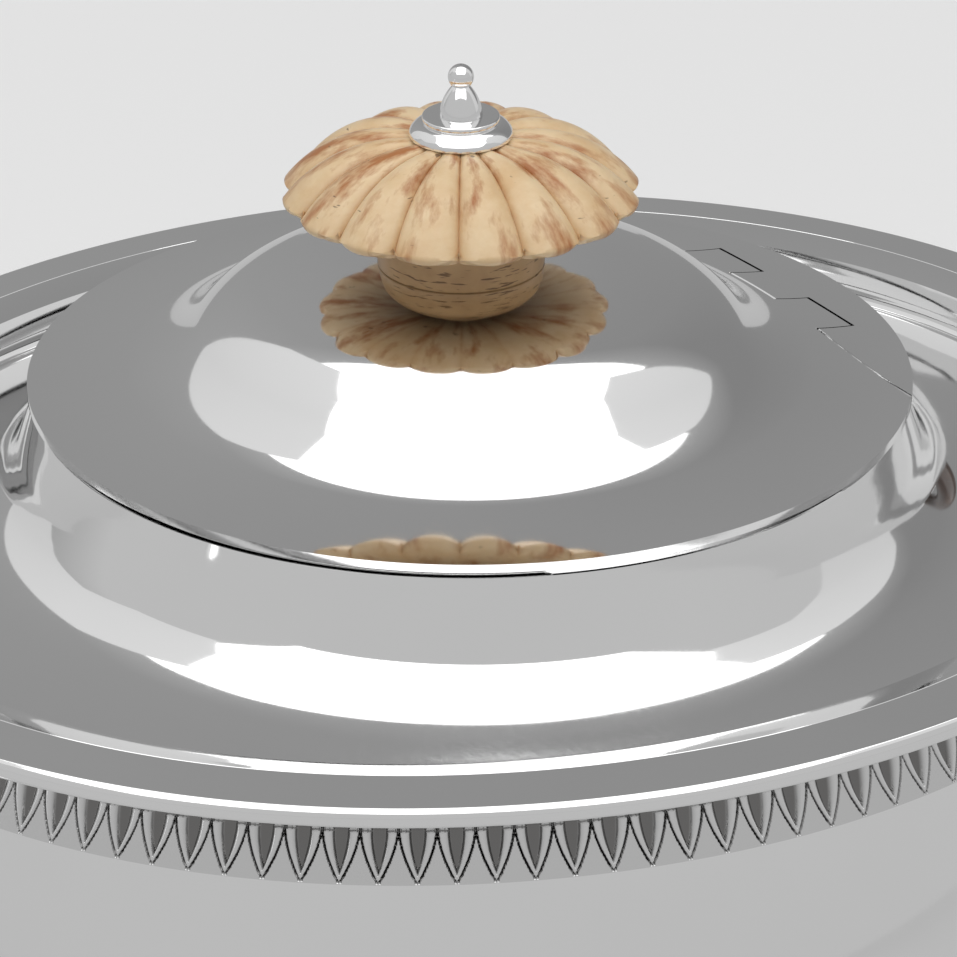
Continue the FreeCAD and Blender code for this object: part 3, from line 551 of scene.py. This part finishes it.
def leaf_height(across, down):
    """Relief of leaf and dart at a place in one repeat, as a share of its full height."""
    # The sunk lines at the top and foot are cut in and also take the darkest recess colour, a painted
    # shade line
    if down < SHADOW_LINE or down > FOOT_LINE:
        return SUNK_LEVEL
    if down > FOOT_STRIP:
        return FLAT_LEVEL
    down = (down - SHADOW_LINE) / (FOOT_STRIP - SHADOW_LINE)
    side = abs(across - 0.5)
    rib = RIB_TOP + (RIB_FOOT - RIB_TOP) * down
    past_dart = 0.5 - side - (0.5 - GROUND) * down ** DART_BEND
    if past_dart < 0:
        return FLAT_LEVEL
    if past_dart < GROUND:
        return GROUND_LEVEL
    if past_dart < GROUND + rib:
        return RIB_LEVEL - RIB_ROUND * (2 * (past_dart - GROUND) / rib - 1) ** 2
    spoon = side / (side + past_dart - GROUND - rib)
    return SUNK_LEVEL + SPOON_RISE * eased(spoon, SPOON_EDGE, 1.0)


def leaf_border_mesh():
    """The strip with its relief cut into the front."""
    columns = LEAVES * LEAF_COLUMNS
    rings = []
    depths = []
    for row in range(LEAF_ROWS + 1):
        down = row / LEAF_ROWS
        ring = []
        for column in range(columns):
            turn = 2 * math.pi * column / columns
            height = leaf_height((column % LEAF_COLUMNS) / LEAF_COLUMNS, down)
            width = BORDER_W + BORDER_LEAN * down - LEAF_RELIEF * (1 - height)
            ring.append(((width + EXTRA) * math.cos(turn), width * math.sin(turn),
                         NECK_Z - BORDER_HEIGHT * down))
            # Colour darker the deeper the relief; along the sunk top and foot lines this is painted shade
            depths.append((1 - height) ** RECESS_DARK_POWER * RECESS_DARK_LEVEL)
        rings.append(ring)
    for down in (1.0, 0.0):
        share = (NECK_Z - BORDER_HEIGHT * down - BELLY_Z) / (NECK_Z - BELLY_Z)
        width = NECK_W + (BELLY_W - NECK_W) * (1 - share ** 2) + BORDER_GAP
        rings.append(oval_ring(width, EXTRA, NECK_Z - BORDER_HEIGHT * down, columns))
        depths += [0.0] * columns
    mesh = ring_mesh("leaf_skin", rings)
    set_values(mesh, "depth", depths)
    return mesh


finished("leaf_skin", leaf_border_mesh(), leaf_silver, "pot", ["leaf_border"], BORDER_CREASE)

# Lid and its flush hinge
LID_SEGMENTS, ROD_SEGMENTS = 320, 48
DOME_STEPS, FLANK_STEPS, BRIM_STEPS = 24, 20, 20
AXIS_R = 0.02
SIDE_REACH, SIDE_FOOT, SIDE_TOP = 60, 90, 130
MIDDLE, OUTER = KNUCKLE / 2, KNUCKLE * 1.5
SEAM = 0.32
LOOSE_R = BARREL_R + SEAM
EDGE_BAND, TOP_BAND, TOP_FACING, ROUNDING = 0.01, 0.02, 0.7, 1e-6


def lid_profile(inset):
    """The lid's crown, dome and flank down to the brim, moved in by a wall."""
    drop = CROWN_RISE - DOME_DROP - BRIM_RISE
    slope = math.atan(drop / FLANK_WIDTH)
    swing = math.asin(math.hypot(FLANK_WIDTH, drop) / (4 * FLANK_BEND))
    steep, gentle = slope + swing, slope - swing
    start = (CROWN_R, LID_Z + CROWN_RISE - inset)
    dome_end = (BRIM_R - FLANK_WIDTH - inset * math.sin(gentle),
                LID_Z + CROWN_RISE - DOME_DROP - inset * math.cos(gentle))
    middle = (BRIM_R - FLANK_WIDTH / 2 - inset * math.sin(steep),
              LID_Z + BRIM_RISE + drop / 2 - inset * math.cos(steep))
    flank_end = (BRIM_R - inset * math.sin(gentle), LID_Z + BRIM_RISE - inset * math.cos(gentle))
    points = [start]
    points += arc(start, dome_end, DOME_BEND - inset, -1, DOME_STEPS)
    points += arc(dome_end, middle, FLANK_BEND - inset, -1, FLANK_STEPS)
    points += arc(middle, flank_end, FLANK_BEND + inset, 1, FLANK_STEPS)
    return points


lid_top = [(AXIS_R, CROWN_Z)] + lid_profile(0)
lid_top += arc((BRIM_R, LID_Z + BRIM_RISE), (LID_R, LID_Z), BRIM_BEND, 1, BRIM_STEPS)
lid_edge = [(LID_R, LIP_Z)]
lid_under = list(reversed(lid_profile(LID_WALL)))
lid_ring = lid_top + lid_edge + [(lid_under[0][0], LIP_Z)] + lid_under + [(AXIS_R, CROWN_Z - LID_WALL)]
lid_column = lid_top + lid_edge + [(SEAT_R - WALL, LIP_Z), (SEAT_R - WALL, WELL_Z), (AXIS_R, WELL_Z)]


def leaf_bars(radius, slack):
    """The three stretches of barrel on the fixed leaf."""
    return joined("leaf_bars", [
        bar_mesh("bar", radius, -MIDDLE - slack, MIDDLE + slack),
        bar_mesh("bar", radius, OUTER - slack, LID_R),
        bar_mesh("bar", radius, -LID_R, -OUTER + slack),
    ])


def lid_bars(radius, slack):
    """The two stretches of barrel on the lid."""
    return joined("lid_bars", [
        bar_mesh("bar", radius, MIDDLE - slack, OUTER + slack),
        bar_mesh("bar", radius, -OUTER - slack, -MIDDLE + slack),
    ])


def top_normals(mesh):
    """Exact normals on the lid's top, so that the cuts leave its reflections undisturbed."""
    reach = [Vector(point) for point in lid_top]
    tilts = []
    for before, after in zip(reach, reach[1:]):
        tilts.append(Vector((before.y - after.y, after.x - before.x)).normalized())
    corner = [tilts[0]] + [(a + b).normalized() for a, b in zip(tilts, tilts[1:])] + [tilts[-1]]
    normals = [Vector(loop.vector) for loop in mesh.corner_normals]
    for face in mesh.polygons:
        for index in face.loop_indices:
            point = mesh.vertices[mesh.loops[index].vertex_index].co / MM
            radius = math.hypot(point.x, point.y)
            if radius < CROWN_R or radius > LID_R - EDGE_BAND:
                continue
            place = next(i for i in range(1, len(reach)) if reach[i].x >= radius - ROUNDING)
            share = (radius - reach[place - 1].x) / (reach[place].x - reach[place - 1].x)
            height = reach[place - 1].y + (reach[place].y - reach[place - 1].y) * share
            tilt = corner[place - 1].lerp(corner[place], share).normalized()
            normal = Vector((tilt.x * point.x / radius, tilt.x * point.y / radius, tilt.y))
            if abs(point.z - height) < TOP_BAND and face.normal.dot(normal) > TOP_FACING:
                normals[index] = normal
    mesh.normals_split_custom_set(normals)


far_corner = (SIDE_REACH, SIDE_REACH, SIDE_TOP)
hinge_side = block_mesh("hinge_side", (HINGE_X, -SIDE_REACH, SIDE_FOOT), far_corner)
leaf_side = block_mesh("leaf_side", (HINGE_X, -SIDE_REACH, SEAT_Z), far_corner)
column_mesh = turned_mesh("lid_column", lid_column, 0, LID_SEGMENTS)
lid_mesh = carved(turned_mesh("lid_skin", lid_ring, 0, LID_SEGMENTS), hinge_side)
bore = [(ROD_BORE, LID_Z), (ROD_BORE, CAP_Z)]
rod_hole = turned_mesh("rod_hole", bore, 0, ROD_SEGMENTS, closed=False, x=FINIAL_X)
lid_mesh = carved(lid_mesh, rod_hole)
lid_mesh = carved(lid_mesh, lid_bars(BARREL_R, -KNUCKLE_GAP))
lid_mesh = carved(lid_mesh, leaf_bars(LOOSE_R, KNUCKLE_GAP))
# Set here and again once the lid is smooth: the second call alone leaves other normals at the cuts
top_normals(lid_mesh)
leaf_mesh = carved(column_mesh, leaf_side, "INTERSECT")
leaf_mesh = carved(leaf_mesh, leaf_bars(BARREL_R, 0))
leaf_mesh = carved(leaf_mesh, lid_bars(LOOSE_R, 0))
leaf_knuckle_mesh = carved(leaf_bars(BARREL_R, 0), column_mesh, "INTERSECT")
leaf_knuckle_mesh = carved(leaf_knuckle_mesh, bar_mesh("pin", PIN_R, -PIN_REACH, PIN_REACH))
lid_knuckle_mesh = carved(lid_bars(BARREL_R, -KNUCKLE_GAP), column_mesh, "INTERSECT")
lid_knuckle_mesh = carved(lid_knuckle_mesh, bar_mesh("pin", PIN_R + PIN_GAP, -PIN_REACH, PIN_REACH))
for name, mesh, body, stands_for in (
    ("lid_skin", lid_mesh, "lid", "lid_cover"),
    ("leaf_plate_skin", leaf_mesh, "pot", "hinge_leaf"),
    ("leaf_knuckle_skin", leaf_knuckle_mesh, "pot", "leaf_knuckles"),
    ("lid_knuckle_skin", lid_knuckle_mesh, "lid", "lid_knuckles"),
):
    piece = finished(name, mesh, silver, body, [stands_for])
    top_normals(piece.data)

# Finial
STEM_SOFT = 0.25
LOBE_COLUMNS, LOBE_DEPTH, LOBE_TOP_DEPTH, LOBE_ROUND = 32, 1.7, 0.75, 0.97
UNDER_DEPTH = 1.2
HOLLOW_GAP, HOLLOW_STEPS, EDGE_STEPS, CROWN_STEPS = 0.3, 12, 8, 40
FLAT_R, FLAT_BAND, CAP_CREASE = 4.0, 0.1, 50
SHADE_LEVEL, SHADE_REACH = 0.9, 11.0
STAIN_START, STAIN_POWER, STAIN_TOP, STAIN_FADE = 0.3, 1.3, 2.4, 1.7
FITTING_SEGMENTS, FITTING_SOFT, TIP_R = 96, 0.1, 0.05
WASHER_EDGE, WASHER_BEND, WASHER_STEPS = WASHER_H / 3, WASHER_H * 1.4, 10
DISC_SOFT = 0.2
BELL_BEND, BALL_STEPS = BELL_H * 1.8, 24

stem = softened([(ROD_BORE, 0), (STEM_R, 0, STEM_SOFT), (STEM_R - STEM_TAPER, STEM_SIDE)])
stem += arc((STEM_R - STEM_TAPER, STEM_SIDE), (STEM_NECK, STEM_H - STEM_NECK_H), STEM_BEND, 1)
stem += [(STEM_NECK, STEM_H), (ROD_BORE, STEM_H)]
stem_mesh = turned_mesh("stem_skin", stem, CROWN_Z, x=FINIAL_X)
finished("stem_skin", stem_mesh, stem_bone_painted_shade, "lid", ["finial_stem"])


def cap_outline():
    """Radii and heights of the cap from the hollow under it, round its edge, to its crown."""
    hollow_start = STEM_NECK + HOLLOW_GAP
    hollow_end = CAP_R - 2 * CAP_EDGE
    points = [(ROD_BORE, CAP_HOLLOW)]
    for i in range(HOLLOW_STEPS + 1):
        share = i / HOLLOW_STEPS
        points.append((hollow_start + (hollow_end - hollow_start) * share, CAP_HOLLOW * (1 - share)))
    points += [(CAP_R - CAP_EDGE, 0)]
    under = len(points)
    points += arc((CAP_R - CAP_EDGE, 0), (CAP_R, CAP_EDGE), CAP_EDGE, 1, EDGE_STEPS)
    points += arc((CAP_R, CAP_EDGE), (CAP_TOP_R, CAP_RISE), CAP_BEND, 1, CROWN_STEPS)
    return points + [(FLAT_R, CAP_RISE), (ROD_BORE, CAP_RISE)], under


def cap_mesh():
    """The cap with rounded lobes that meet in sharp grooves."""
    outline, under = cap_outline()
    columns = LOBES * LOBE_COLUMNS
    rings = []
    depths = []
    shades = []
    lobes = []
    for i, (radius, height) in enumerate(outline):
        before = Vector(outline[max(i - 1, 0)])
        after = Vector(outline[min(i + 1, len(outline) - 1)])
        along = (after - before).normalized()
        normal = Vector((along.y, -along.x))
        share = max(min((radius - CAP_TOP_R) / (CAP_R - CAP_TOP_R), 1), 0)
        depth = LOBE_TOP_DEPTH + (LOBE_DEPTH - LOBE_TOP_DEPTH) * share
        if i < under:
            depth = UNDER_DEPTH * share
            normal = Vector((1, 0))
        if radius < CAP_TOP_R - FLAT_BAND:
            depth = 0
        # Painted shade under the cap: darkest next to the stem and fading outwards
        shade = SHADE_LEVEL * max(1 - (radius - STEM_NECK) / SHADE_REACH, 0) if i < under else 0.0
        shades += [min(shade, SHADE_LEVEL)] * columns
        stain = STAIN_TOP - STAIN_FADE * share if depth else 0.0
        ring = []
        for column in range(columns):
            across = (column % LOBE_COLUMNS) / LOBE_COLUMNS - 0.5
            arch = 1 - math.sqrt(1 - (2 * across) ** 2 * LOBE_ROUND)
            sink = normal * (depth * arch)
            turn = 2 * math.pi * (column - LOBE_COLUMNS / 2) / columns
            reach = radius - sink.x
            place = (reach * math.cos(turn) + FINIAL_X, reach * math.sin(turn), height - sink.y + CAP_Z)
            ring.append(place)
            lobes += [math.cos(turn), math.sin(turn), radius / CAP_R]
            depths.append(max(arch - STAIN_START, 0) ** STAIN_POWER * stain)
        rings.append(ring)
    mesh = ring_mesh("cap_skin", rings)
    set_values(mesh, "depth", depths)
    set_values(mesh, "shade", shades)
    mesh.attributes.new("lobe", "FLOAT_VECTOR", "POINT").data.foreach_set("vector", lobes)
    return mesh


finished("cap_skin", cap_mesh(), bone, "lid", ["finial_cap"], CAP_CREASE)

lower_washer = [(ROD_BORE, 0), (WASHER_R - FITTING_SOFT, 0), (WASHER_R, FITTING_SOFT)]
lower_washer += [(WASHER_R, WASHER_EDGE)]
lower_washer += arc((WASHER_R, WASHER_EDGE), (DISC_R, WASHER_H), WASHER_BEND, 1, WASHER_STEPS)
lower_washer += [(ROD_BORE, WASHER_H)]
upper_washer = [(ROD_BORE, 0), (DISC_R, 0, DISC_SOFT), (DISC_R, DISC_H, DISC_SOFT), (ROD_BORE, DISC_H)]
upper_washer = softened(upper_washer)
bell = [(TIP_R, 0), (BELL_R - FITTING_SOFT, 0), (BELL_R, FITTING_SOFT)]
bell += arc((BELL_R, FITTING_SOFT), (BELL_NECK, BELL_H), BELL_BEND, 1)
ball_centre = BELL_H + math.sqrt(BALL_R ** 2 - BELL_NECK ** 2)
bell += arc((BELL_NECK, BELL_H), (TIP_R, ball_centre + BALL_R), BALL_R, 1, BALL_STEPS)
for name, outline, foot, stands_for in (
    ("lower_washer_skin", lower_washer, WASHER_Z, "finial_lower_washer"),
    ("upper_washer_skin", upper_washer, DISC_Z, "finial_upper_washer"),
    ("bell_skin", bell, BELL_Z, "finial_bell"),
):
    mesh = turned_mesh(name, outline, foot, FITTING_SEGMENTS, x=FINIAL_X)
    finished(name, mesh, silver, "lid", [stands_for])

# Parts shown as packed
PACKED = {
    silver: ["base_plate", "foot_ring", "spout", "upper_socket", "lower_socket", "handle_pins"],
    inner_silver: ["mouth_collar", "hinge_trough", "lid_bezel", "finial_rod"],
    nickel: ["hinge_pin", "nut_washer", "finial_nut"],
    wood: ["handle"],
}
for material, names in PACKED.items():
    for name in names:
        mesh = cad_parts[name].data
        mesh.materials.clear()
        mesh.materials.append(material)

# Floor, light and camera
FLOOR_SIZE = 12.0
scene = bpy.context.scene
scene.view_settings.view_transform = "Standard"


def sheet(name, corners, material, seen=True):
    """A flat sheet of the studio between its corners, which the camera may see or not."""
    mesh = bpy.data.meshes.new(name)
    mesh.from_pydata(corners, [], [tuple(range(len(corners)))])
    mesh.materials.append(material)
    item = bpy.data.objects.new(name, mesh)
    item.visible_camera = seen
    scene.collection.objects.link(item)


FLOOR_TONE, FLOOR_LIFT = 0.5, 0.33
MIRRORED_TONE, MIRRORED_SHARE = 0.53, 0.85
floor_material, floor_tree, floor_shader = new_material("floor")
floor_shader.inputs["Base Color"].default_value = (*grey(FLOOR_TONE), 1)
floor_shader.inputs["Roughness"].default_value = 0.9
floor_shader.inputs["Emission Color"].default_value = (1, 1, 1, 1)
ray = node(floor_tree, "ShaderNodeLightPath")
lift = node(floor_tree, "ShaderNodeMath", {1: FLOOR_LIFT}, operation="MULTIPLY")
floor_tree.links.new(ray.outputs["Is Camera Ray"], lift.inputs[0])
floor_tree.links.new(lift.outputs[0], floor_shader.inputs["Emission Strength"])
mirrored = node(floor_tree, "ShaderNodeEmission", {"Color": (*grey(MIRRORED_TONE), 1)})
even = node(floor_tree, "ShaderNodeMath", {1: MIRRORED_SHARE}, operation="MULTIPLY")
blend = node(floor_tree, "ShaderNodeMixShader")
floor_tree.links.new(ray.outputs["Is Glossy Ray"], even.inputs[0])
floor_tree.links.new(even.outputs[0], blend.inputs[0])
floor_tree.links.new(floor_shader.outputs[0], blend.inputs[1])
floor_tree.links.new(mirrored.outputs[0], blend.inputs[2])
floor_tree.links.new(blend.outputs[0], floor_tree.nodes["Material Output"].inputs["Surface"])
half = FLOOR_SIZE / 2
sheet("floor", [(-half, -half, 0), (half, -half, 0), (half, half, 0), (-half, half, 0)], floor_material)

VIEW_TURN, VIEW_RISE = -33.0, 24.15
PITCH, YAW = 0.798, 0.0724
CAMERA_DISTANCE = 0.731
LENS, SENSOR, CLIP_START = 282.9, 36.0, 0.01


def toward(turn, rise):
    """Direction from the object to a viewer, turned from -Y and raised, in degrees."""
    a, e = math.radians(turn), math.radians(rise)
    return Vector((math.sin(a) * math.cos(e), -math.cos(a) * math.cos(e), math.sin(e)))


aim = Vector((0, 0, LID_Z * MM))
camera_data = bpy.data.cameras.new("camera")
camera_data.lens = LENS
camera_data.sensor_width = SENSOR
camera_data.clip_start = CLIP_START
camera = bpy.data.objects.new("camera", camera_data)
camera.location = aim + toward(VIEW_TURN, VIEW_RISE) * CAMERA_DISTANCE
camera.rotation_mode = "QUATERNION"
camera.rotation_quaternion = (-toward(VIEW_TURN - YAW, VIEW_RISE + PITCH)).to_track_quat("-Z", "Y")
scene.collection.objects.link(camera)
scene.camera = camera

NEAR = Vector((math.sin(math.radians(VIEW_TURN)), -math.cos(math.radians(VIEW_TURN)), 0))
RIGHT = Vector((math.cos(math.radians(VIEW_TURN)), math.sin(math.radians(VIEW_TURN)), 0))
UP = Vector((0, 0, 1))
SOFTBOX_UP, SOFTBOX_NEAR, SOFTBOX_DISTANCE = 0.977, 0.212, 1.2
SOFTBOX_WIDTH, SOFTBOX_DEPTH, SOFTBOX_STRENGTH = 2.08, 1.89, 1.15
PANEL_DISTANCE = 1.1
PANEL_LOW, PANEL_HIGH = 0.60, 0.76

# One wide softbox overhead, from the far edge to above the camera
softbox_data = bpy.data.lights.new("softbox", "AREA")
softbox_data.shape = "RECTANGLE"
softbox_data.size = SOFTBOX_WIDTH
softbox_data.size_y = SOFTBOX_DEPTH
softbox_data.energy = SOFTBOX_WIDTH * SOFTBOX_DEPTH * math.pi
softbox_data.use_nodes = True
softbox_data.node_tree.nodes["Emission"].inputs["Strength"].default_value = SOFTBOX_STRENGTH
softbox = bpy.data.objects.new("softbox", softbox_data)
back = (UP * SOFTBOX_UP + NEAR * SOFTBOX_NEAR).normalized()
softbox.location = aim + back * SOFTBOX_DISTANCE
softbox.rotation_mode = "QUATERNION"
softbox.rotation_quaternion = Matrix((RIGHT, back.cross(RIGHT), back)).transposed().to_quaternion()
softbox.visible_camera = False
scene.collection.objects.link(softbox)


# A tall cloth panel on each side, seen in reflections but not by the camera
def bearing(turn, rise):
    """Direction at an angle round from the camera's side, to the right, and above the table."""
    a, e = math.radians(turn), math.radians(rise)
    return (NEAR * math.cos(a) + RIGHT * math.sin(a)) * math.cos(e) + UP * math.sin(e)


def panel_material():
    """White cloth that glows a little more towards its top."""
    material, cloth, _ = new_material("panel")
    place = node(cloth, "ShaderNodeNewGeometry")
    parts = node(cloth, "ShaderNodeSeparateXYZ")
    rise = node(cloth, "ShaderNodeMapRange", {1: 0.0, 2: PANEL_DISTANCE, 3: PANEL_LOW, 4: PANEL_HIGH})
    glow = node(cloth, "ShaderNodeEmission")
    cloth.links.new(place.outputs["Position"], parts.inputs[0])
    cloth.links.new(parts.outputs["Z"], rise.inputs[0])
    cloth.links.new(rise.outputs[0], glow.inputs["Strength"])
    cloth.links.new(glow.outputs[0], cloth.nodes["Material Output"].inputs["Surface"])
    return material


PANELS = {
    "left_panel": [(-138, -2), (-119, -2), (-108, 28), (-90, 32), (-70, 44), (-84, 56), (-126, 60),
                   (-138, 45)],
    "right_panel": [(92, -2), (118, -2), (121, 45), (115, 58), (86, 56), (70, 44), (88, 33)],
}
cloth_white = panel_material()
for name, bearings in PANELS.items():
    corners = [aim + bearing(turn, rise) * PANEL_DISTANCE for turn, rise in bearings]
    sheet(name, corners, cloth_white, seen=False)

# The room, lighter on the camera's side
NEAR_TONE = 0.53
FAR_LEFT, FAR_MIDDLE, FAR_RIGHT = 0.34, 0.29, 0.235
NEAR_START, NEAR_FULL = 0.21, 0.43
world = bpy.data.worlds.new("studio")
world.use_nodes = True
scene.world = world
tree = world.node_tree
background = tree.nodes["Background"]
direction = node(tree, "ShaderNodeTexCoord")


def half_share(axis):
    """How far a direction lies along an axis, from 0 to 1."""
    along = node(tree, "ShaderNodeVectorMath", {1: tuple(axis)}, operation="DOT_PRODUCT")
    share = node(tree, "ShaderNodeMath", {1: 0.5, 2: 0.5}, operation="MULTIPLY_ADD")
    tree.links.new(direction.outputs["Generated"], along.inputs[0])
    tree.links.new(along.outputs["Value"], share.inputs[0])
    return share.outputs[0]


far_stops = [(0.2, grey(FAR_LEFT)), (0.5, grey(FAR_MIDDLE)), (0.8, grey(FAR_RIGHT))]
far_tone = ramp(tree, half_share(RIGHT), far_stops)
near_share = ramp(tree, half_share(NEAR), [(NEAR_START, grey(0)), (NEAR_FULL, grey(1))])
tree.links.new(mixed(tree, near_share, far_tone, grey(NEAR_TONE)), background.inputs["Color"])
